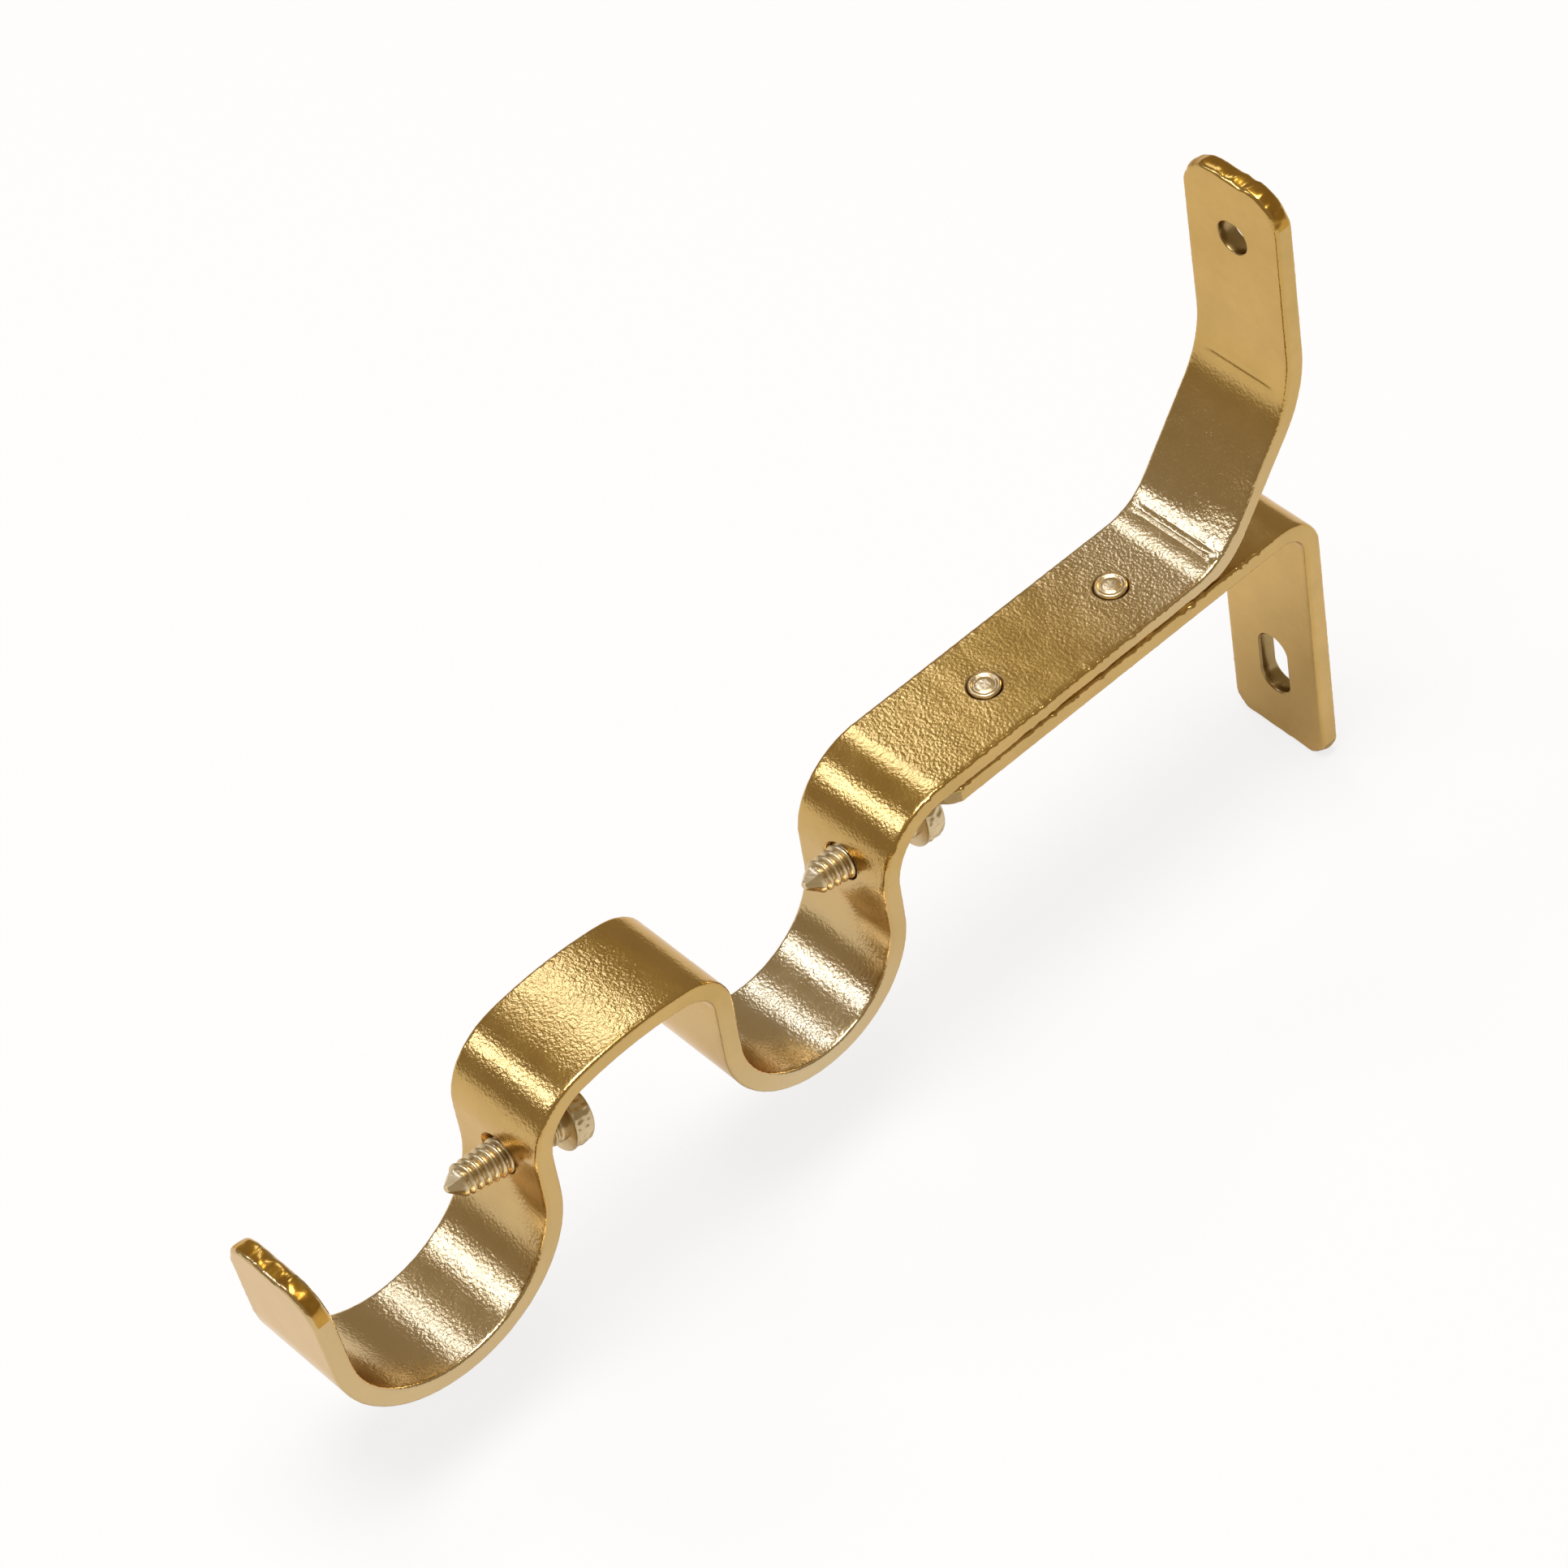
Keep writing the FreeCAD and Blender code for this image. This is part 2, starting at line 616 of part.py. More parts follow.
def make_clamp_screw(doc, which):
    """A slotted screw through the neck of a cradle.

    Its own origin lies under its head, and its own Z axis runs to its point.
    """
    label = "clamp_screw_" + which
    body = make_body(doc, label)
    corners = [
        ("0", "-screw_head_height"),
        ("screw_head_diameter / 2", "-screw_head_height"),
        ("screw_head_diameter / 2", "0"),
        ("screw_diameter / 2", "0"),
        ("screw_diameter / 2", "screw_length - screw_point_length"),
        ("screw_point_diameter / 2", "screw_length"),
        ("0", "screw_length"),
    ]
    turn_outline(body, label, corners)
    head_top = -size.screw_head_height
    round_rim(body, label + "_head_round", head_top, size.screw_head_diameter, "screw_head_round")

    slot = make_sketch(body, label + "_slot_outline", "XY_Plane", "-screw_head_height")
    beside = "screw_slot_width / 2"
    beyond = "screw_head_diameter"
    draw_outline(slot, [
        ("-" + beside, "-" + beyond),
        (beside, "-" + beyond),
        (beside, beyond),
        ("-" + beside, beyond),
    ])
    cut_sketch(body, slot, label + "_slot", "One side", "screw_slot_depth")

    tilt = f"({which}_screw_tilt * 1 deg)"
    back = f"({which}_screw_reach - screw_length)"
    turn_axis = FreeCAD.Vector(1, 0, 0)
    body.Placement = FreeCAD.Placement(FreeCAD.Vector(), FreeCAD.Rotation(turn_axis, 90))
    bind(body, "Placement.Rotation.Angle", f"90 - {which}_screw_tilt")
    neck = f"{which}_cradle_radius - rear_pole_projection"
    if which == "front":
        neck += " - pole_spacing"
    bind(body, "Placement.Base.y", f"{neck} - cos{tilt} * {back}")
    level = f"strip_thickness / 2 - arm_drop - {which}_screw_drop"
    bind(body, "Placement.Base.z", f"{level} + sin{tilt} * {back}")
    return body


def check_document(doc, bodies):
    """Stop if any feature failed or any piece has no sound shape."""
    for item in doc.Objects:
        if "Invalid" in item.State or "Error" in item.State:
            raise RuntimeError(f"{item.Label} failed: {item.State}")
    for body in bodies:
        shape = body.Shape
        if shape.isNull() or not shape.isValid() or len(shape.Solids) != 1:
            raise RuntimeError(f"{body.Label} has no sound solid")


def main():
    doc = FreeCAD.newDocument("curtain_pole_bracket")
    make_sheet(doc)
    bodies = [
        make_pole_strip(doc),
        make_support_strip(doc),
        make_rivet(doc, "rivet_rear", "-rivet_rear_projection"),
        make_rivet(doc, "rivet_front", "-rivet_rear_projection - rivet_spacing"),
        make_clamp_screw(doc, "rear"),
        make_clamp_screw(doc, "front"),
    ]
    doc.recompute()
    check_document(doc, bodies)
    os.makedirs("parts", exist_ok=True)
    for body in bodies:
        body.Shape.exportStep(f"parts/{body.Label}.step")
        print(body.Label, round(body.Shape.Volume, 2))


main()
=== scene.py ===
"""Looks of the double curtain pole bracket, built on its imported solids.

Lengths are millimetres until a mesh is made. The frame is the part's own: z is up, the wall is the
plane y = 0, the room lies towards -y, and x runs along the poles. A place on a strip is written
flat, as (x, s, t): x across it, s along its middle line and t out of its middle sheet.
"""
import math

import bmesh
import bpy
from mathutils import Matrix, Vector, noise


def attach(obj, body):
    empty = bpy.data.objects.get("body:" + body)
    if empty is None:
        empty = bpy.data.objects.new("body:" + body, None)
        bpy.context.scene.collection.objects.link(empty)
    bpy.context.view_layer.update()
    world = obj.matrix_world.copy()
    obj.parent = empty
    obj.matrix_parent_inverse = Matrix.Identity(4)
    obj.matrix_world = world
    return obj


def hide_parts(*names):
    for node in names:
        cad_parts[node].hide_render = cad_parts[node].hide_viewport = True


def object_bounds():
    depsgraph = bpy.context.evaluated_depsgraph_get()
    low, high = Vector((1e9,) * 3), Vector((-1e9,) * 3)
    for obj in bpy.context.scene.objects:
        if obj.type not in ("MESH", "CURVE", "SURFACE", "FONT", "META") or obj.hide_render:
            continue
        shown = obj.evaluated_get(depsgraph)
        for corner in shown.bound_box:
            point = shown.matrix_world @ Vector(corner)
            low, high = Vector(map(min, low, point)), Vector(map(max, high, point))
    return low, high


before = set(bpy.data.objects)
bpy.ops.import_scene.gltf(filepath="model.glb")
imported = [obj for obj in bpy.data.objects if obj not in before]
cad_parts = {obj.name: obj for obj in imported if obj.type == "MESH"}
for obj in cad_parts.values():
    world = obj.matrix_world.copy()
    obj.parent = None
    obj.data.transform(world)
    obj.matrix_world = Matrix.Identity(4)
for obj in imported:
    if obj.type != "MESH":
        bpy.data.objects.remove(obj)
cad_low, cad_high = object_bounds()

MM = 0.001

# both strips
STRIP_WIDTH = 15.0
STRIP_THICKNESS = 2.5
EDGE_ROUND = 0.45
HALF_WIDTH = STRIP_WIDTH / 2
HALF_THICKNESS = STRIP_THICKNESS / 2

# pole strip, with the bends' inside radii
TAB_TOP = 9.0
TAB_STRAIGHT = 14.9
END_CORNER = 4.5
UPPER_BEND = 16.0
SLOPE = 37.0
ARM_BEND = 8.0
ARM_DROP = 40.6
REAR_POLE = 83.0
REAR_CRADLE = 11.6
REAR_CRADLE_DROP = 14.3
DROP_BEND = 8.0
RISE_BEND = 4.6
HUMP = 43.5
HUMP_RISE = 0.35
FALL_BEND = 7.0
POLE_SPACING = 56.0
FRONT_CRADLE = 14.4
FRONT_CRADLE_DROP = 13.8
LIP_HEIGHT = 12.3
LIP_LEAN = 4.5
WALL_HOLE = 4.5

# support strip
SUPPORT_BEND = 3.8
HOLE_TO_SLOT = 71.5
SLOT_TO_BOTTOM = 12.4
SLOT_WIDTH = 4.5
SLOT_LENGTH = 9.5
SUPPORT_CORNER = 2.8

# rivets
RIVET_PLACES = (26.5, 47.0)
RIVET_DIAMETER = 4.0
RIVET_HOLE = 4.2
RIVET_HEAD = 7.0
RIVET_HEAD_HEIGHT = 1.5

# clamp screws: the neck's distance from the wall, the seat's drop below the arm's middle, the
# tilt in degrees, and the point's reach past the neck
SCREWS = {
    "rear": (REAR_POLE - REAR_CRADLE, 8.4, 7.0, 5.7),
    "front": (REAR_POLE + POLE_SPACING - FRONT_CRADLE, 12.0, 10.0, 7.8),
}
SCREW_DIAMETER = 4.8
SCREW_HOLE = 4.9
SCREW_LENGTH = 16.0
SCREW_HEAD = 7.8
SCREW_HEAD_HEIGHT = 3.2
SCREW_HEAD_ROUND = 1.2
SCREW_SLOT_WIDTH = 1.2
SCREW_SLOT_DEPTH = 1.4
KNURL_RIBS = 30
KNURL_DEPTH = 0.07
THREAD_PITCH = 1.06
THREAD_DEPTH = 0.6
THREAD_TAPER = 0.35
POINT_LENGTH = 2.0
POINT_BASE = 1.95
POINT_TIP = 0.45
POINT_FACETS = 6

# how far a hole's mouth flares at the strip's faces
HOLE_FLARE = 0.1
SLOT_FLARE = 0.25
RIVET_FLARE = 0.2
SCREW_FLARE = 0.4

CUTTER_REACH = 8.0

# how high or deep the marks on the strips are
SHEAR_WAVE = 0.2
SHEAR_RIPPLE = 0.05
SHEAR_ROUNDING = 0.24
ROLLED_WAVE = 0.035
ROLLED_BEADS = 0.09
POLE_STRIP_BEADS = 0.4
SUPPORT_STRIP_BEADS = 0.6
SEAM_DEPTH = 0.4
ARM_DENT = 0.35

# how fine the strips' meshes are
ROW_STEP = 0.36
MIN_ROW_GAP = 0.035
COLUMNS = 26
WALL_ROWS = 8
EDGE_DEPTHS = [0.0, 0.04, 0.14, 0.28, EDGE_ROUND]
CORNER_STEPS = 14

ARM_MIDDLE = HALF_THICKNESS - ARM_DROP


def smooth_step(low, high, value):
    """0 below low, 1 above high and a smooth rise between them."""
    share = min(max((value - low) / (high - low), 0.0), 1.0)
    return share * share * (3 - 2 * share)


def new_object(name, vertices, faces, materials, slots=None):
    """A smooth mesh from millimetre places."""
    mesh = bpy.data.meshes.new(name)
    mesh.from_pydata([Vector(v) * MM for v in vertices], [], faces)
    for material in materials:
        mesh.materials.append(material)
    for index, face in enumerate(mesh.polygons):
        face.use_smooth = True
        face.material_index = slots[index] if slots else 0
    mesh.validate()
    item = bpy.data.objects.new(name, mesh)
    bpy.context.scene.collection.objects.link(item)
    return item


def face_outwards(item):
    """Turn every face of a closed mesh to the outside."""
    work = bmesh.new()
    work.from_mesh(item.data)
    bmesh.ops.recalc_face_normals(work, faces=work.faces)
    work.to_mesh(item.data)
    work.free()


def apply_modifiers(item):
    """Keep the modified mesh as the object's own."""
    graph = bpy.context.evaluated_depsgraph_get()
    made = bpy.data.meshes.new_from_object(item.evaluated_get(graph))
    item.modifiers.clear()
    item.data = made


def cut(item, cutters):
    """Cut the cutters out of an object, and give the cut walls the cutters' material."""
    for cutter in cutters:
        modifier = item.modifiers.new("cut", "BOOLEAN")
        modifier.operation = "DIFFERENCE"
        modifier.solver = "EXACT"
        modifier.material_mode = "TRANSFER"
        modifier.object = cutter
        apply_modifiers(item)
        bpy.data.objects.remove(cutter)
    item.data.set_sharp_from_angle(angle=math.radians(40))


class StripLine:
    """A strip's middle line seen from the side: straight runs and bends, each tangent to the last."""

    def __init__(self, start, heading):
        self.point = Vector(start)
        self.heading = math.radians(heading)
        self.length = 0.0
        self.parts = []

    def add(self, length, curvature):
        """Go on from the line's end. A run has no curvature."""
        self.parts.append((self.length, self.point, self.heading, curvature))
        self.length += length
        self.point, self.heading = self.at(self.length)

    def run(self, length):
        self.add(length, 0.0)

    def bend(self, inside_radius, turn):
        """Turn by an angle in degrees, anticlockwise when positive."""
        radius = inside_radius + HALF_THICKNESS
        self.add(radius * abs(math.radians(turn)), math.copysign(1 / radius, turn))

    def at(self, s):
        """The point and the heading at a distance along the line."""
        start, point, heading, curvature = self.parts[0]
        for part in self.parts[1:]:
            if s >= part[0]:
                start, point, heading, curvature = part
        along = s - start
        if curvature == 0:
            return point + Vector((math.cos(heading), math.sin(heading))) * along, heading
        turned = heading + curvature * along
        chord = Vector((math.sin(turned) - math.sin(heading), math.cos(heading) - math.cos(turned)))
        return point + chord / curvature, turned

    def place(self, x, s, t):
        """A place in space from a place on the flat strip."""
        point, heading = self.at(s)
        return Vector((x, point.x + math.sin(heading) * t, point.y - math.cos(heading) * t))

    def start_of(self, number):
        """Where one of the line's parts begins, as a distance along it."""
        return self.parts[number][0]

    def middle_of(self, number):
        """Half way along one of the line's parts."""
        ends = [part[0] for part in self.parts[1:]] + [self.length]
        return (self.parts[number][0] + ends[number]) / 2


def end_rows(corner):
    """Distances from a strip's end at which its rounded corners and edge need a row."""
    turns = [math.pi / 2 * step / CORNER_STEPS for step in range(4, CORNER_STEPS + 1)]
    return EDGE_DEPTHS + [0.65, 0.9] + [corner * (1 - math.cos(turn)) for turn in turns]


def strip_rows(line, first_corner, last_corner, creases=()):
    """Where a strip's mesh has rows: even along it, and closer at its ends and creases."""
    rows = end_rows(first_corner) + [line.length - row for row in end_rows(last_corner)]
    count = int(line.length / ROW_STEP)
    rows += [line.length * step / count for step in range(1, count)]
    for crease in creases:
        rows += crease.rows()
    kept = []
    for row in sorted(rows):
        if not kept or row - kept[-1] > MIN_ROW_GAP:
            kept.append(row)
    return kept


class Outline:
    """The flat outline of a strip: a long rectangle with its own corner radius at each end."""

    def __init__(self, length, first_corner, last_corner):
        self.length = length
        self.corners = (first_corner, last_corner)

    def from_end(self, s):
        """The distance to the nearer end and that end's corner radius."""
        if s < self.length / 2:
            return s, self.corners[0]
        return self.length - s, self.corners[1]

    def half_width(self, s):
        """Half the outline's width at a distance along it."""
        from_end, corner = self.from_end(s)
        if from_end >= corner:
            return HALF_WIDTH
        return HALF_WIDTH - corner + math.sqrt(max(corner ** 2 - (corner - from_end) ** 2, 0.0))

    def depth(self, x, s):
        """How far a place lies inside the outline."""
        from_end, corner = self.from_end(s)
        beyond_x = abs(x) - (HALF_WIDTH - corner)
        beyond_s = corner - from_end
        if beyond_x > 0 and beyond_s > 0:
            return corner - math.hypot(beyond_x, beyond_s)
        return min(HALF_WIDTH - abs(x), from_end)

    def outwards(self, x, s):
        """The way out of the outline, as (x, s), for a place near it."""
        from_end, corner = self.from_end(s)
        way = -1 if s < self.length / 2 else 1
        beyond_x = abs(x) - (HALF_WIDTH - corner)
        beyond_s = corner - from_end
        if beyond_s <= 0 or HALF_WIDTH - abs(x) < 1e-6 and beyond_s < 1e-6:
            return math.copysign(1, x), 0.0
        if beyond_x <= 0:
            return 0.0, way
        reach = math.hypot(beyond_x, beyond_s)
        return math.copysign(beyond_x / reach, x), way * beyond_s / reach


def edge_height(depth):
    """Height of the broad face over the middle sheet, rounded down towards the outline."""
    if depth >= EDGE_ROUND:
        return HALF_THICKNESS
    return HALF_THICKNESS - EDGE_ROUND + math.sqrt(EDGE_ROUND ** 2 - (EDGE_ROUND - depth) ** 2)


FACE, EDGE, SHEARED = range(3)


def make_strip(name, line, outline, rows, shape, coating, end_material):
    """Bend a flat strip along a line.

    shape moves each flat place, and is where the marks come from. coating says how grainy the
    strip is and how much paler colour is painted on it as painted highlight at a distance along it,
    and is kept for the material as a map.
    """
    places = []
    grids = []
    for side in (1, -1):
        grid = []
        for s in rows:
            half = outline.half_width(s)
            flat = half - EDGE_ROUND
            right = [half - depth for depth in EDGE_DEPTHS]
            middle = [flat * (1 - 2 * step / COLUMNS) for step in range(1, COLUMNS)]
            across = right + middle + [-x for x in reversed(right)]
            row_points = []
            for x in across:
                row_points.append(len(places))
                places.append((x, s, side * edge_height(max(outline.depth(x, s), 0.0))))
            grid.append(row_points)
        grids.append(grid)

    faces = []
    slots = []
    for grid in grids:
        for here, following in zip(grid, grid[1:]):
            for column in range(len(here) - 1):
                near = [here[column], here[column + 1]]
                faces.append(near + [following[column + 1], following[column]])
                slots.append(FACE)

    top, bottom = (boundary(grid) for grid in grids)
    rings = [top]
    for step in range(1, WALL_ROWS):
        ring = []
        share = step / WALL_ROWS
        for upper, lower in zip(top, bottom):
            ring.append(len(places))
            ends = zip(places[upper], places[lower])
            places.append(tuple(above + (below - above) * share for above, below in ends))
        rings.append(ring)
    rings.append(bottom)
    for upper, lower in zip(rings, rings[1:]):
        for index in range(len(upper)):
            following = (index + 1) % len(upper)
            faces.append([upper[index], upper[following], lower[following], lower[index]])
            from_end, corner = outline.from_end(places[upper[index]][1])
            slots.append(SHEARED if from_end < corner * 0.9 else EDGE)

    bent = [line.place(*shape(x, s, t)) for x, s, t in places]
    item = new_object(name, bent, faces, [gold_face, gold_edge, end_material], slots)
    layer = item.data.uv_layers.new(name="coating")
    for loop in item.data.loops:
        x, s, _ = places[loop.vertex_index]
        grain, painted_highlight_share = coating(s)
        rim = 1 - smooth_step(0.15, 0.6, HALF_WIDTH - abs(x))
        # the map's second channel is the share of paler colour painted on as painted highlight
        layer.data[loop.index].uv = (max(grain, RIM_GRAIN * rim), painted_highlight_share)
    face_outwards(item)
    return item


def boundary(grid):
    """The points round a grid's rim, in order."""
    loop = list(grid[0])
    loop += [row[-1] for row in grid[1:]]
    loop += list(reversed(grid[-1]))[1:]
    loop += [row[0] for row in reversed(grid[1:-1])]
    return loop


def shear_marks(outline, x, s, t, seed):
    """Shallow waves that the shears left in a strip's end, as a push out of the outline.

    The seed here and below picks another stretch of the noise.
    """
    from_end, corner = outline.from_end(s)
    if from_end > corner:
        return x, s
    depth = max(outline.depth(x, s), 0.0)
    fade = 1 - smooth_step(0.1, 0.8, depth)
    fade *= 1 - smooth_step(0.55 * corner, corner, from_end)
    wave = noise.noise(Vector((x * 0.75, s * 0.75, t * 0.55 + seed)))
    ripple = noise.noise(Vector((x * 2.1, s * 2.1, t * 0.9 + seed + 7)))
    rounding = SHEAR_ROUNDING * (t / HALF_THICKNESS) ** 2
    push = (SHEAR_WAVE * wave + SHEAR_RIPPLE * ripple - rounding) * fade
    out_x, out_s = outline.outwards(x, s)
    return x + out_x * push, s + out_s * push


def near_right_edge(x, t):
    """1 along a strip's upper right edge and 0 away from it."""
    near_side = smooth_step(HALF_WIDTH - 0.5, HALF_WIDTH - 0.1, x)
    return near_side * smooth_step(HALF_THICKNESS - 0.75, HALF_THICKNESS - 0.3, t)


def side_beads(x, s, t, seed, first, last, size):
    """Beads of coating between two places along a strip's upper right edge, as a push outwards."""
    fade = 4
    along = smooth_step(first, first + fade, s) * (1 - smooth_step(last - fade, last, s))
    bead = max(noise.noise(Vector((0.3, s * 1.7, seed))) + 0.08, 0.0)
    return size * near_right_edge(x, t) * along * bead


def side_seam(x, s, t, seed, first, last):
    """How far a strip's lower right edge draws back above the seam, most at the first place."""
    fade = 4
    along = smooth_step(first - fade, first, s) * (1 - smooth_step(first, last, s))
    wave = 1 + 0.8 * noise.noise(Vector((1.3, s * 0.8, seed)))
    return SEAM_DEPTH * near_right_edge(x, -t) * along * wave


def rolled_surface(outline, x, s, t, seed):
    """Slow unevenness of rolled strip, and beads of coating along its rounded edges."""
    if abs(t) < HALF_THICKNESS - EDGE_ROUND - 1e-6:
        return t
    slow = ROLLED_WAVE * noise.noise(Vector((x * 0.16, s * 0.16, seed)))
    near_edge = 1 - smooth_step(0.2, 0.9, outline.depth(x, s))
    beads = ROLLED_BEADS * near_edge * noise.noise(Vector((x * 0.3, s * 1.2, seed + 5)))
    return t + math.copysign(slow + beads, t)


class Crease:
    """A line pressed across the inside of a bend, with a small dimple at each of its ends.

    Each groove is (distance from the crease's middle, breadth, depth).
    """

    def __init__(self, s, half_length, grooves, dimple, skew=0.0):
        self.s = s
        self.half_length = half_length
        self.grooves = grooves
        self.dimple = dimple
        self.skew = skew

    def press(self, x, s):
        """How deep the crease is at a place."""
        off = s - self.s - self.skew * x
        groove = 0
        for at, breadth, depth in self.grooves:
            groove += depth * math.exp(-((off - at) / breadth) ** 2)
        ends = 1 - smooth_step(self.half_length - 0.6, self.half_length + 0.2, abs(x))
        from_dimple = math.hypot(abs(x) - self.half_length, off) / 0.5
        return groove * ends + self.dimple * math.exp(-from_dimple * from_dimple)

    def rows(self):
        """Extra rows of the strip's mesh, close together across the crease."""
        fine = 0.1
        each_way = 18
        return [self.s + fine * step for step in range(-each_way, each_way + 1)]


def lathe(name, profile, materials, segments=64, ripple=None):
    """A closed solid turned round its own z axis from (radius, height) pairs, top first."""
    places = []
    rings = []
    for radius, height in profile:
        if radius == 0:
            rings.append([len(places)])
            places.append((0, 0, height))
            continue
        ring = []
        for step in range(segments):
            angle = 2 * math.pi * step / segments
            wide = radius + (ripple(radius, height, angle) if ripple else 0)
            ring.append(len(places))
            places.append((wide * math.cos(angle), wide * math.sin(angle), height))
        rings.append(ring)
    faces = []
    for upper, lower in zip(rings, rings[1:]):
        for step in range(segments):
            following = (step + 1) % segments
            corners = [upper[step % len(upper)], upper[following % len(upper)]]
            corners += [lower[following % len(lower)], lower[step % len(lower)]]
            faces.append(list(dict.fromkeys(corners)))
    item = new_object(name, places, faces, materials)
    face_outwards(item)
    return item


def stand(item, origin, axis):
    """Move a mesh so that its own z axis lies along an axis from an origin."""
    turn = Vector((0, 0, 1)).rotation_difference(Vector(axis)).to_matrix().to_4x4()
    item.data.transform(Matrix.Translation(Vector(origin) * MM) @ turn)


def flare_profile(flare):
    """Half of a cutter's side, as (height over the strip's middle, growth of its radius)."""
    beyond = 0.6
    return [
        (CUTTER_REACH, flare + beyond),
        (HALF_THICKNESS + beyond, flare + beyond),
        (HALF_THICKNESS, flare),
        (HALF_THICKNESS - 0.5 * flare, 0.3 * flare),
        (HALF_THICKNESS - flare, 0.0),
    ]


def hole_cutter(diameter, origin, axis, flare):
    """A round cutter whose two ends flare at the strip's two faces."""
    side = [(diameter / 2 + wide, height) for height, wide in flare_profile(flare)]
    side += [(wide, -height) for wide, height in reversed(side)]
    profile = [(0, CUTTER_REACH)] + side + [(0, -CUTTER_REACH)]
    # the cut wall takes the darker bore material, painted shade in the hole
    item = lathe("cutter", profile, [gold_bore_painted_shade], 72)
    stand(item, origin, axis)
    return item


# materials

def new_material(name):
    """A material with its nodes, its links and its shader."""
    material = bpy.data.materials.new(name)
    material.use_nodes = True
    nodes = material.node_tree.nodes
    return material, nodes, material.node_tree.links, nodes["Principled BSDF"]


def add_noise(nodes, links, source, size, detail=2.0, roughness=0.5):
    """A noise whose cells are about size millimetres wide."""
    texture = nodes.new("ShaderNodeTexNoise")
    texture.inputs["Scale"].default_value = 1 / (size * MM)
    texture.inputs["Detail"].default_value = detail
    texture.inputs["Roughness"].default_value = roughness
    links.new(source, texture.inputs["Vector"])
    return texture.outputs["Fac"]


def add_range(nodes, links, source, low, high, to_low, to_high):
    """Stretch a value from one range to another, and hold it inside that one."""
    ranged = nodes.new("ShaderNodeMapRange")
    for name, value in (("From Min", low), ("From Max", high), ("To Min", to_low), ("To Max", to_high)):
        ranged.inputs[name].default_value = value
    links.new(source, ranged.inputs["Value"])
    return ranged.outputs["Result"]


def add_bump(nodes, links, height, depth, strength=None, normal=None):
    """Bumps of a depth in millimetres, laid over those of an earlier normal."""
    bump = nodes.new("ShaderNodeBump")
    bump.inputs["Distance"].default_value = depth * MM
    bump.inputs["Strength"].default_value = 1.0
    links.new(height, bump.inputs["Height"])
    if strength:
        links.new(strength, bump.inputs["Strength"])
    if normal:
        links.new(normal, bump.inputs["Normal"])
    return bump.outputs["Normal"]


def add_mix(nodes, links, share, first, second):
    """Mix two colours, each a fixed one or another node's output."""
    mix = nodes.new("ShaderNodeMix")
    mix.data_type = "RGBA"
    links.new(share, mix.inputs["Factor"])
    for side, colour in (("A", first), ("B", second)):
        if isinstance(colour, tuple):
            mix.inputs[side].default_value = (*colour, 1)
        else:
            links.new(colour, mix.inputs[side])
    return mix.outputs["Result"]


def add_grain_and_painted_highlight_map(nodes, links):
    """How grainy the coating is at each place of a strip, and how much paler colour is painted there as
    painted highlight, both from 0 to 1.
    """
    layer = nodes.new("ShaderNodeUVMap")
    layer.uv_map = "coating"
    parts = nodes.new("ShaderNodeSeparateXYZ")
    links.new(layer.outputs["UV"], parts.inputs["Vector"])
    return parts.outputs["X"], parts.outputs["Y"]


def metal(name, light, dark, roughness, bumps, coat, pale=None):
    """A plated metal. bumps is a list of (size, height, detail) of its surface's unevenness.

    With a pale colour the material follows the strips' coating map, and mixes that paler colour in as
    painted highlight where the map asks for it.
    """
    material, nodes, links, shader = new_material(name)
    place = nodes.new("ShaderNodeTexCoord").outputs["Object"]
    blotches = add_noise(nodes, links, place, 9.0, 6.0, 0.68)
    share = add_range(nodes, links, blotches, 0.35, 0.65, 0.0, 1.0)
    colour = add_mix(nodes, links, share, light, dark)
    strength = None
    if pale:
        strength, painted_highlight_share = add_grain_and_painted_highlight_map(nodes, links)
        # painted highlight: the paler colour goes where the lamps' highlights fall on the strips
        colour = add_mix(nodes, links, painted_highlight_share, colour, pale)
    links.new(colour, shader.inputs["Base Color"])
    rough_low, rough_high = roughness
    patches = add_noise(nodes, links, place, 3.0, 4.0)
    shine = add_range(nodes, links, patches, 0.3, 0.7, rough_low, rough_high)
    links.new(shine, shader.inputs["Roughness"])
    normal = None
    for size, height, detail in bumps:
        waves = add_noise(nodes, links, place, size, detail)
        normal = add_bump(nodes, links, waves, height, strength, normal)
    links.new(normal, shader.inputs["Normal"])
    links.new(normal, shader.inputs["Coat Normal"])
    shader.inputs["Metallic"].default_value = 1.0
    shader.inputs["Specular Tint"].default_value = (0.95, 0.8, 0.6, 1)
    shader.inputs["Coat Weight"].default_value = coat
    shader.inputs["Coat Roughness"].default_value = 0.1
    shader.inputs["Coat IOR"].default_value = 1.8
    return material


# the last colour of gold_face and gold_edge is the paler colour of their painted highlight
gold_face = metal(
    "gold_face", (0.57, 0.36, 0.085), (0.5, 0.31, 0.065), (0.17, 0.23),
    [(1.7, 0.02, 2.0), (0.4, 0.062, 2.0)], 0.45, (0.6, 0.49, 0.3))
gold_edge = metal(
    "gold_edge", (0.58, 0.38, 0.11), (0.5, 0.33, 0.085), (0.2, 0.28),
    [(2.5, 0.05, 1.0), (0.5, 0.04, 1.0)], 0.45, (0.6, 0.48, 0.28))
gold_sheared = metal(
    "gold_sheared", (0.62, 0.35, 0.04), (0.34, 0.17, 0.018), (0.2, 0.28),
    [(2.2, 0.07, 1.0), (0.6, 0.012, 2.0)], 0.3)
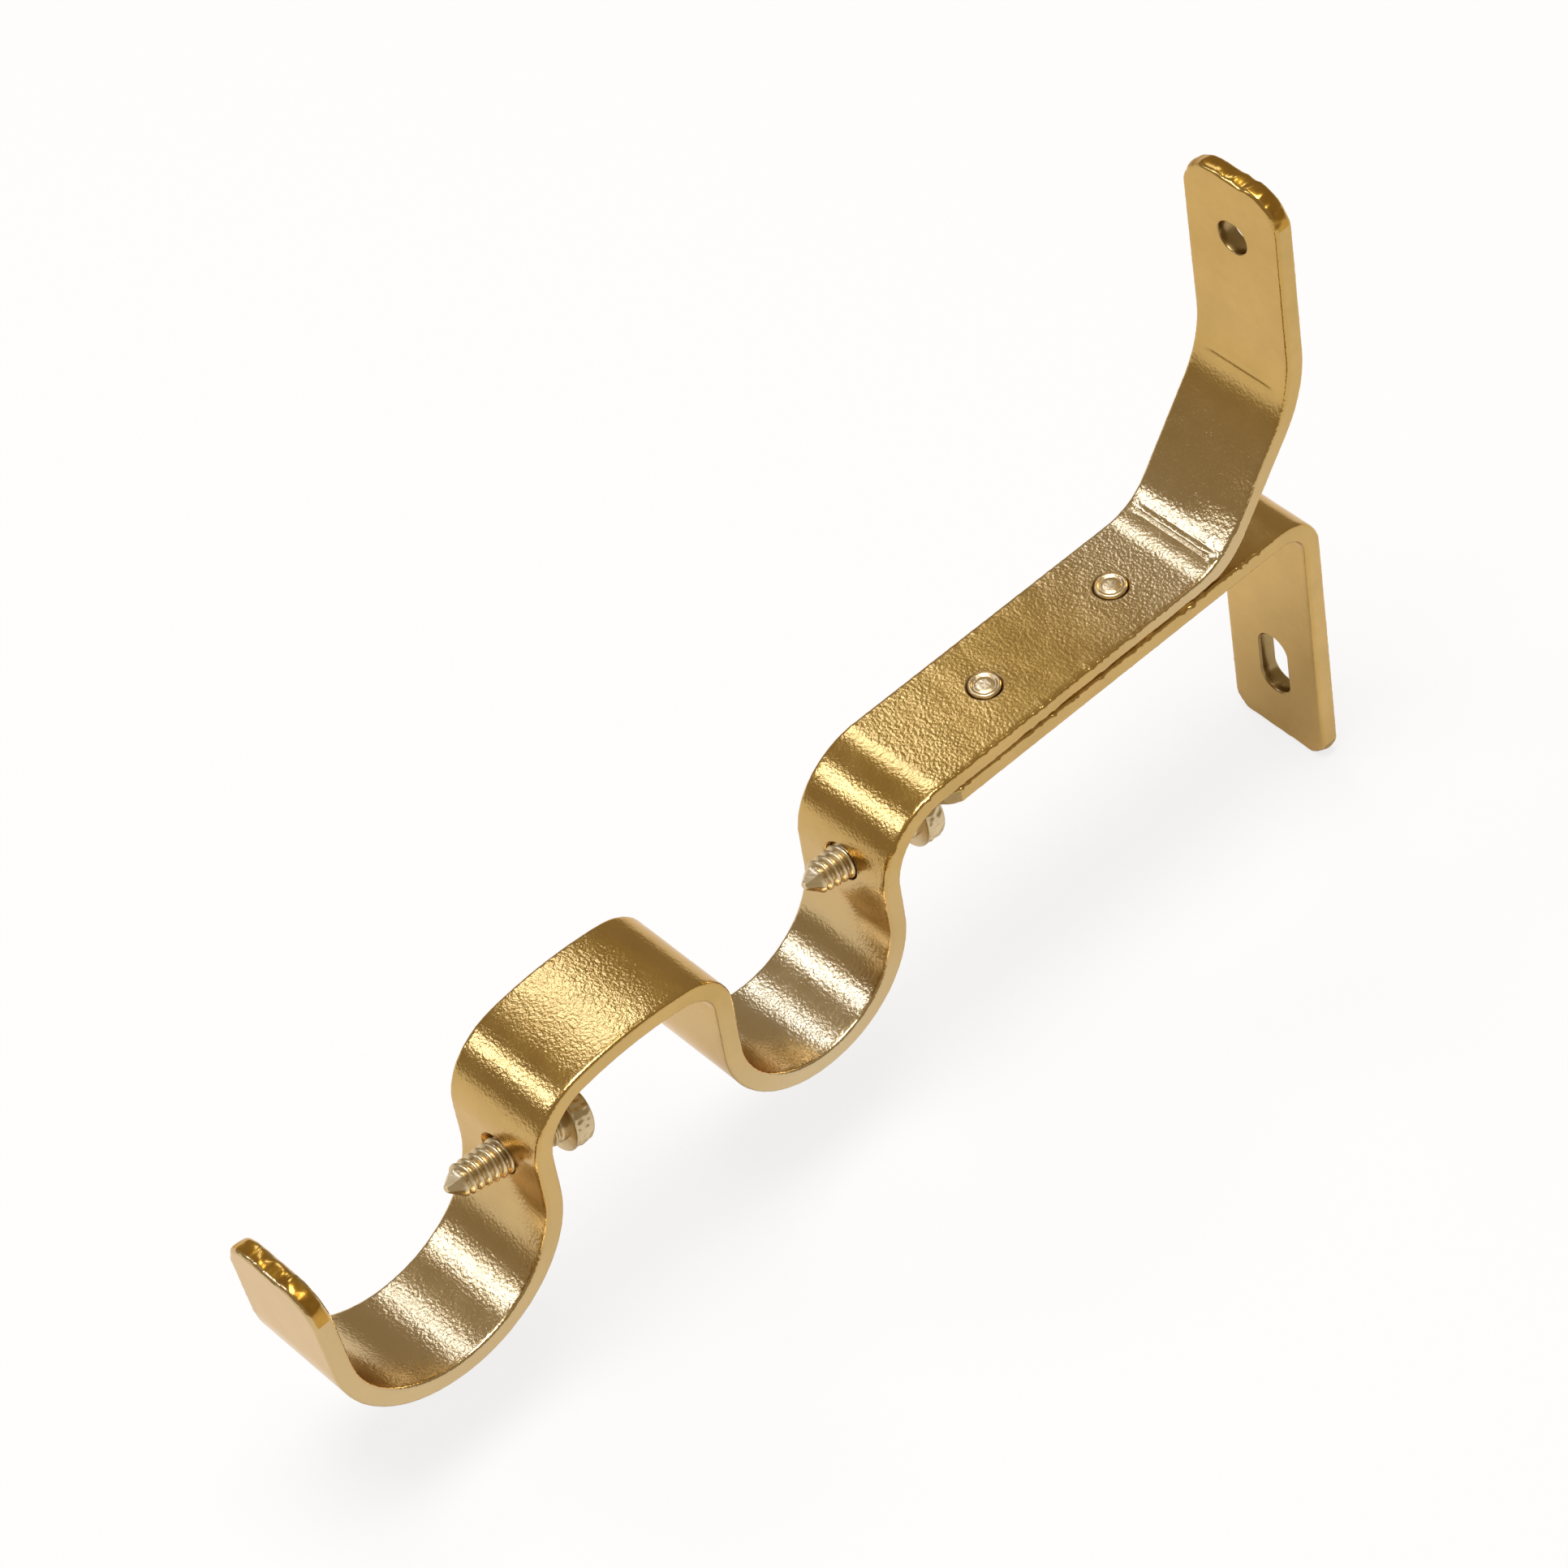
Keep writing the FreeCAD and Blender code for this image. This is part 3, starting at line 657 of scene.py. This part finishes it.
# the hole walls are darker than the faces: painted shade in the holes and rivet gaps
gold_bore_painted_shade = metal(
    "gold_bore_painted_shade", (0.44, 0.32, 0.14), (0.32, 0.22, 0.085), (0.28, 0.38),
    [(0.8, 0.03, 2.0)], 0.2)
pale_screw = metal(
    "pale_screw", (0.7, 0.59, 0.38), (0.58, 0.47, 0.28), (0.27, 0.36),
    [(0.9, 0.035, 2.0), (0.35, 0.02, 2.0)], 0.3)
pale_rivet = metal(
    "pale_rivet", (0.78, 0.63, 0.38), (0.62, 0.48, 0.27), (0.24, 0.34),
    [(0.9, 0.08, 2.0), (0.35, 0.02, 2.0)], 0.3)


# pole strip

TAB, UPPER_TURN, SLOPE_RUN, ARM_TURN, ARM = range(5)

# how grainy the coating is in the middle of each part of the pole strip, and how much paler colour
# is painted there as painted highlight, most where the lamps' highlights fall: tab, bend, slope,
# bend, arm, bend, neck, cradle, riser, bend, hump, bend, neck, cradle and lip
POLE_STRIP_GRAIN = (0.1, 0.35, 0.9, 0.9, 0.3, 0.7, 0.3, 1.0, 0.4, 0.6, 1.0, 0.9, 0.25, 1.0, 0.25)
POLE_STRIP_PAINTED_HIGHLIGHT = (0.0, 0.05, 0.4, 0.75, 0.1, 0.05, 0.3, 0.9, 0.35, 0.05, 0.1, 0.1, 0.2, 0.7, 0.5)
# the support strip's grain and its small share of painted highlight
SUPPORT_STRIP_GRAIN_AND_PAINTED_HIGHLIGHT = (0.25, 0.1)
RIM_GRAIN = 0.9


def pole_strip_line():
    """The pole strip's middle line, from the tab's top to the lip's edge."""
    upper = UPPER_BEND + HALF_THICKNESS
    arm = ARM_BEND + HALF_THICKNESS
    drop = DROP_BEND + HALF_THICKNESS
    rear = REAR_CRADLE + HALF_THICKNESS
    rise = RISE_BEND + HALF_THICKNESS
    hump = HUMP + HALF_THICKNESS
    fall = FALL_BEND + HALF_THICKNESS
    front = FRONT_CRADLE + HALF_THICKNESS
    slope = math.radians(SLOPE)
    whole_fall = -TAB_STRAIGHT - ARM_MIDDLE
    slope_run = (whole_fall - upper * math.sin(slope) - arm * (1 - math.sin(slope))) / math.cos(slope)
    arm_start = HALF_THICKNESS + upper * (1 - math.cos(slope)) + slope_run * math.sin(slope)
    arm_start += arm * math.cos(slope)
    gap = POLE_SPACING - front - rear
    crown = math.asin((gap - rise - fall) / (2 * hump - rise - fall))
    crown_foot = HUMP_RISE - hump * (1 - math.cos(crown))
    lean = math.radians(LIP_LEAN)
    crown_angle = math.degrees(crown)

    line = StripLine((-HALF_THICKNESS, TAB_TOP), -90)
    line.run(TAB_TOP + TAB_STRAIGHT)
    line.bend(UPPER_BEND, -SLOPE)
    line.run(slope_run)
    line.bend(ARM_BEND, SLOPE - 90)
    line.run(REAR_POLE - rear - drop - arm_start)
    line.bend(DROP_BEND, 90)
    line.run(REAR_CRADLE_DROP - drop)
    line.bend(REAR_CRADLE, -180)
    line.run(crown_foot - rise * math.cos(crown) + REAR_CRADLE_DROP)
    line.bend(RISE_BEND, 90 - crown_angle)
    line.bend(HUMP, 2 * crown_angle)
    line.bend(FALL_BEND, 90 - crown_angle)
    line.run(crown_foot - fall * math.cos(crown) + FRONT_CRADLE_DROP)
    line.bend(FRONT_CRADLE, LIP_LEAN - 180)
    line.run((LIP_HEIGHT + front * math.sin(lean)) / math.cos(lean))
    return line


def screw_seat(which):
    """Where a clamp screw's axis leaves the front of its neck, and the way its point faces."""
    neck, drop, tilt, _ = SCREWS[which]
    turn = math.radians(tilt)
    return Vector((0, -neck, ARM_MIDDLE - drop)), Vector((0, -math.cos(turn), math.sin(turn)))


def arm_dent(x, s, bend_start):
    """A shallow hollow that bending left on the right of the slope's foot."""
    along = smooth_step(bend_start - 9.0, bend_start - 2.5, s)
    along *= 1 - smooth_step(bend_start - 2.5, bend_start + 1.5, s)
    return ARM_DENT * along * smooth_step(-3.0, 6.0, x)


def make_pole_strip():
    """The folded strip with its wall hole, rivet holes and screw holes."""
    line = pole_strip_line()
    outline = Outline(line.length, END_CORNER, END_CORNER)
    upper_crease = Crease(line.middle_of(UPPER_TURN), 5.0, [(0.0, 0.25, 0.06)], 0.05)
    arm_crease = Crease(line.middle_of(ARM_TURN), 6.0, [(0.0, 0.26, 0.13), (-1.1, 0.3, 0.04)], 0.16)
    creases = (upper_crease, arm_crease)
    middles = [line.middle_of(number) for number in range(len(line.parts))]
    arm_start = line.start_of(ARM)

    def shape(x, s, t):
        bent_x, bent_s = shear_marks(outline, x, s, t, 0.0 if s < line.length / 2 else 31.0)
        bent_x += side_beads(x, s, t, 21.0, arm_start, line.start_of(ARM + 2), POLE_STRIP_BEADS)
        bent_x -= side_seam(x, s, t, 23.0, arm_start, line.start_of(ARM + 1))
        height = rolled_surface(outline, x, s, t, 3.0)
        if t > HALF_THICKNESS - EDGE_ROUND:
            height -= sum(crease.press(x, s) for crease in creases)
            height -= arm_dent(x, s, line.start_of(ARM_TURN))
        return bent_x, bent_s, height

    # grain and share of painted highlight along the pole strip
    def coating(s):
        passed = [number for number, middle in enumerate(middles) if middle <= s]
        before = max(passed, default=0)
        after = min(before + 1, len(middles) - 1)
        share = smooth_step(middles[before], middles[after], s) if after > before else 0.0
        maps = (POLE_STRIP_GRAIN, POLE_STRIP_PAINTED_HIGHLIGHT)
        return tuple(values[before] * (1 - share) + values[after] * share for values in maps)

    rows = strip_rows(line, END_CORNER, END_CORNER, creases)
    item = make_strip("pole_strip_dressed", line, outline, rows, shape, coating, gold_sheared)
    cutters = [hole_cutter(WALL_HOLE, (0, -HALF_THICKNESS, 0), (0, -1, 0), HOLE_FLARE)]
    for place in RIVET_PLACES:
        cutters.append(hole_cutter(RIVET_HOLE, (0, -place, ARM_MIDDLE), (0, 0, 1), RIVET_FLARE))
    for which in SCREWS:
        seat, axis = screw_seat(which)
        cutters.append(hole_cutter(SCREW_HOLE, seat - axis * HALF_THICKNESS, axis, SCREW_FLARE))
    cut(item, cutters)
    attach(item, "bracket")
    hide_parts("pole_strip")


# support strip

def make_support_strip():
    """The L-shaped strip under the arm, from its slotted foot to its end by the rear cradle."""
    foot = -HOLE_TO_SLOT - SLOT_TO_BOTTOM
    corner = SUPPORT_BEND + HALF_THICKNESS
    level = -ARM_DROP - HALF_THICKNESS
    brace_end = REAR_POLE - REAR_CRADLE - DROP_BEND - STRIP_THICKNESS
    line = StripLine((-HALF_THICKNESS, foot), 90)
    line.run(level - corner - foot)
    line.bend(SUPPORT_BEND, 90)
    line.run(brace_end - HALF_THICKNESS - corner)
    brace_start = line.start_of(2)
    outline = Outline(line.length, SUPPORT_CORNER, SUPPORT_CORNER)

    def shape(x, s, t):
        bent_x, bent_s = shear_marks(outline, x, s, t, 11.0 if s < line.length / 2 else 19.0)
        bent_x += side_beads(x, s, t, 27.0, brace_start, line.length, SUPPORT_STRIP_BEADS)
        return bent_x, bent_s, rolled_surface(outline, x, s, t, 8.0)

    def coating(s):
        return SUPPORT_STRIP_GRAIN_AND_PAINTED_HIGHLIGHT

    rows = strip_rows(line, SUPPORT_CORNER, SUPPORT_CORNER)
    item = make_strip("support_strip_dressed", line, outline, rows, shape, coating, gold_edge)
    cutters = [slot_cutter()]
    for place in RIVET_PLACES:
        cutters.append(hole_cutter(RIVET_HOLE, (0, -place, level), (0, 0, 1), HOLE_FLARE))
    cut(item, cutters)
    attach(item, "bracket")
    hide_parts("support_strip")


def slot_cutter():
    """The upright slot of the lower wall tab, with slightly flared mouths."""
    radius = SLOT_WIDTH / 2
    reach = SLOT_LENGTH / 2 - radius
    layers = flare_profile(SLOT_FLARE)
    layers += [(-out, wide) for out, wide in reversed(layers)]
    places = []
    rings = []
    steps = 24
    for out, wide in layers:
        ring = []
        for end in (1, -1):
            for step in range(steps + 1):
                angle = math.pi * step / steps + (0 if end == 1 else math.pi)
                x = (radius + wide) * math.cos(angle)
                z = (radius + wide) * math.sin(angle) + end * reach - HOLE_TO_SLOT
                ring.append(len(places))
                places.append((x, -HALF_THICKNESS + out, z))
        rings.append(ring)
    faces = [rings[0], rings[-1]]
    for near, far in zip(rings, rings[1:]):
        for index in range(len(near)):
            following = (index + 1) % len(near)
            faces.append([near[index], near[following], far[following], far[index]])
    item = new_object("cutter", places, faces, [gold_bore_painted_shade])
    face_outwards(item)
    return item


# rivets

def make_rivet(label, place):
    """A rivet: a pressed end just over the arm and a domed head under the support strip."""
    radius = RIVET_DIAMETER / 2
    top = ARM_MIDDLE + HALF_THICKNESS
    bottom = -2 * STRIP_THICKNESS
    head = RIVET_HEAD / 2
    ring_groove = [(1.1, 0.2), (1.25, 0.1), (1.38, 0.1), (1.52, 0.22)]
    pressed_rim = [(1.68, 0.31), (1.83, 0.29), (1.96, 0.17), (radius, 0.02)]
    profile = [(0, 0.24), (0.7, 0.23)] + ring_groove + pressed_rim + [(radius, -0.2), (radius, -0.5)]
    profile += [(radius, bottom), (head - 0.1, bottom), (head, bottom - 0.12)]
    head_edge = 0.25
    dome = 8
    for step in range(dome + 1):
        angle = math.pi / 2 * step / dome
        wide = head * math.cos(angle) if step < dome else 0
        rise = (RIVET_HEAD_HEIGHT - head_edge) * math.sin(angle)
        profile.append((wide, bottom - head_edge - rise))

    def ripple(wide, height, angle):
        if height < -1:
            return 0
        way = Vector((math.cos(angle) * 1.6, math.sin(angle) * 1.6, place * 0.37))
        return 0.07 * wide / 2 * noise.noise(way)

    item = lathe(label + "_dressed", profile, [pale_rivet], 56, ripple)
    item.data.set_sharp_from_angle(angle=math.radians(50))
    stand(item, (0, -place, top), (0, 0, 1))
    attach(item, "bracket")
    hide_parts(label)


# clamp screws

def thread_radius(height, angle):
    """Radius of the rounded thread at a height over the head's underside."""
    near_point = smooth_step(SCREW_LENGTH - 8.0, SCREW_LENGTH - POINT_LENGTH, height)
    crest = SCREW_DIAMETER / 2 - THREAD_TAPER * near_point
    turn = height / THREAD_PITCH - angle / (2 * math.pi)
    hollow = 0.5 + 0.5 * math.cos(2 * math.pi * turn)
    return crest - THREAD_DEPTH * hollow ** 1.3 * smooth_step(0.4, 1.6, height)


def point_radius(height, angle):
    """Radius of the faceted cone at the screw's point."""
    share = (SCREW_LENGTH - height) / POINT_LENGTH
    if share >= 1:
        return SCREW_DIAMETER
    within = (angle % (2 * math.pi / POINT_FACETS)) - math.pi / POINT_FACETS
    flat = math.cos(math.pi / POINT_FACETS) / math.cos(within)
    bite = 1 + (flat - 1) * smooth_step(0, 0.3, 1 - share)
    return (POINT_TIP + (POINT_BASE - POINT_TIP) * share) * bite


def make_clamp_screw(which):
    """A slotted screw whose own origin lies under its head and whose z axis runs to its point."""
    label = "clamp_screw_" + which
    head = SCREW_HEAD / 2
    top = SCREW_HEAD_HEIGHT
    rim = 0.3
    # rows of this radius are the ones that ripple takes out to the thread or the point
    threaded = 1.0
    row_step = 0.075
    top_row = SCREW_LENGTH - 0.1
    rows = int(top_row / row_step)
    profile = [(0, SCREW_LENGTH), (POINT_TIP, SCREW_LENGTH - 0.02)]
    profile += [(threaded, top_row - row_step * row) for row in range(rows)]
    profile += [(SCREW_DIAMETER / 2, 0.0), (head - rim, 0.0), (head - 0.3 * rim, -0.3 * rim)]
    knurl_rows = 14
    knurl_length = top - rim - SCREW_HEAD_ROUND
    profile += [(head, -rim - knurl_length * row / knurl_rows) for row in range(knurl_rows + 1)]
    round_steps = 8
    for step in range(1, round_steps + 1):
        angle = math.pi / 2 * step / round_steps
        wide = head - SCREW_HEAD_ROUND * (1 - math.cos(angle))
        profile.append((wide, -top + SCREW_HEAD_ROUND * (1 - math.sin(angle))))
    profile += [(head * 0.4, -top), (0, -top)]
    seed = 3.0 if which == "rear" else 9.0

    def ripple(wide, height, angle):
        if wide == threaded and height > 0:
            return min(thread_radius(height, angle), point_radius(height, angle)) - threaded
        if height < -0.1 and wide > 1.8:
            around = Vector((math.cos(angle) * 5.5, math.sin(angle) * 5.5, height * 1.4 + seed))
            ribs = 0.5 - 0.5 * math.cos(KNURL_RIBS * angle + 2.0 * noise.noise(around * 0.4))
            fade = smooth_step(0.1, 0.5, -height) * (1 - smooth_step(top - 0.9, top - 0.3, -height))
            return -fade * (KNURL_DEPTH * ribs + 0.1 + 0.16 * noise.noise(around))
        return 0

    item = lathe(label + "_dressed", profile, [pale_screw], 120, ripple)
    cut(item, [head_slot_cutter()])
    item.data.set_sharp_from_angle(angle=math.radians(38))
    seat, axis = screw_seat(which)
    reach = SCREWS[which][3]
    stand(item, seat + axis * (reach - SCREW_LENGTH), axis)
    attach(item, which + "_screw")
    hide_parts(label)


def head_slot_cutter():
    """The cutter of the screwdriver slot in a screw's head, upright on the bracket."""
    beside = SCREW_SLOT_WIDTH / 2
    beyond = SCREW_HEAD
    places = []
    for z in (-SCREW_HEAD_HEIGHT - beyond, -SCREW_HEAD_HEIGHT + SCREW_SLOT_DEPTH):
        places += [(-beside, -beyond, z), (beside, -beyond, z)]
        places += [(beside, beyond, z), (-beside, beyond, z)]
    faces = [(0, 1, 2, 3), (4, 5, 6, 7), (0, 1, 5, 4), (1, 2, 6, 5), (2, 3, 7, 6), (3, 0, 4, 7)]
    item = new_object("cutter", places, faces, [pale_screw])
    face_outwards(item)
    return item


# stage, light and camera

def direction(azimuth, elevation):
    """A unit vector. Azimuth 0 points to -y and 90 to +x."""
    around, up = math.radians(azimuth), math.radians(elevation)
    return Vector((math.sin(around) * math.cos(up), -math.cos(around) * math.cos(up), math.sin(up)))


def add_lamp(name, azimuth, elevation, distance, width, height, radiance, colour):
    """A rectangular soft light that faces the bracket. radiance is how bright its face looks."""
    lamp = bpy.data.lights.new(name, "AREA")
    lamp.shape = "RECTANGLE"
    lamp.size = width
    lamp.size_y = height
    lamp.color = colour
    lamp.energy = math.pi * width * height * radiance
    item = bpy.data.objects.new(name, lamp)
    bpy.context.scene.collection.objects.link(item)
    target = (cad_low + cad_high) / 2
    way = direction(azimuth, elevation)
    item.location = target + way * distance
    item.rotation_mode = "QUATERNION"
    item.rotation_quaternion = way.to_track_quat("Z", "Y")


def whiten(nodes, links, plain, seen, mirrored, output):
    """Mix white into a surface or the world: one share where the camera sees it, one in mirrors."""
    white = nodes.new("ShaderNodeEmission")
    white.inputs["Strength"].default_value = 1.0
    rays = nodes.new("ShaderNodeLightPath")
    total = None
    shares = {"Is Camera Ray": seen, "Is Glossy Ray": mirrored, "Is Transmission Ray": mirrored}
    for ray, share in shares.items():
        part = nodes.new("ShaderNodeMath")
        part.operation = "MULTIPLY_ADD"
        links.new(rays.outputs[ray], part.inputs[0])
        part.inputs[1].default_value = share
        part.inputs[2].default_value = 0.0
        if total:
            links.new(total, part.inputs[2])
        total = part.outputs["Value"]
    mix = nodes.new("ShaderNodeMixShader")
    links.new(total, mix.inputs["Fac"])
    links.new(plain, mix.inputs[1])
    links.new(white.outputs["Emission"], mix.inputs[2])
    links.new(mix.outputs["Shader"], output)


def make_floor():
    """A pale matt floor that looks white, and still keeps a light shadow."""
    material, nodes, links, shader = new_material("floor")
    shader.inputs["Base Color"].default_value = (0.9, 0.9, 0.9, 1)
    shader.inputs["Roughness"].default_value = 0.8
    shader.inputs["Specular IOR Level"].default_value = 0.1
    surface = nodes["Material Output"].inputs["Surface"]
    whiten(nodes, links, shader.outputs["BSDF"], 0.8, 0.2, surface)
    reach = 4000
    level = cad_low.z / MM
    corners = [(-reach, -reach, level), (reach, -reach, level)]
    corners += [(reach, reach, level), (-reach, reach, level)]
    new_object("floor", corners, [(0, 1, 2, 3)], [material])


def make_light():
    """A warm dim room that looks white to the camera, one soft white lamp and two cool ones."""
    world = bpy.data.worlds.new("world")
    bpy.context.scene.world = world
    world.use_nodes = True
    nodes, links = world.node_tree.nodes, world.node_tree.links
    background = nodes["Background"]
    background.inputs["Color"].default_value = (0.29, 0.21, 0.105, 1)
    background.inputs["Strength"].default_value = 1.0
    surface = nodes["World Output"].inputs["Surface"]
    whiten(nodes, links, background.outputs["Background"], 1.0, 0.1, surface)

    cool = (0.86, 0.97, 1.28)
    add_lamp("overhead", 30, 86, 1.6, 0.8, 0.8, 10.5, (1, 1, 1))
    add_lamp("window", -43, 37, 1.8, 0.4, 0.46, 5.0, cool)
    add_lamp("strip_light", -114, 50, 1.8, 0.43, 0.42, 3.9, cool)


def make_camera():
    """The camera stands where the photograph's did and looks at the bracket's middle."""
    place = Vector((388.05, -347.9, 494.3))
    look = -direction(55.094, 47.893)
    roll = math.radians(-10.655)
    focal_pixels = 4019.7
    framed_pixels = 1000.0
    level_right = look.cross(Vector((0, 0, 1))).normalized()
    level_up = level_right.cross(look)
    right = math.cos(roll) * level_right + math.sin(roll) * level_up
    up = math.cos(roll) * level_up - math.sin(roll) * level_right
    data = bpy.data.cameras.new("camera")
    data.sensor_width = 36.0
    data.lens = focal_pixels / framed_pixels * data.sensor_width
    data.clip_start = 0.01
    data.clip_end = 50.0
    item = bpy.data.objects.new("camera", data)
    bpy.context.scene.collection.objects.link(item)
    turn = Matrix((right, up, -look)).transposed()
    item.matrix_world = Matrix.Translation(place * MM) @ turn.to_4x4()
    bpy.context.scene.camera = item


make_pole_strip()
make_support_strip()
make_rivet("rivet_rear", RIVET_PLACES[0])
make_rivet("rivet_front", RIVET_PLACES[1])
for screw in SCREWS:
    make_clamp_screw(screw)
make_floor()
make_light()
make_camera()
bpy.context.scene.view_settings.view_transform = "Standard"
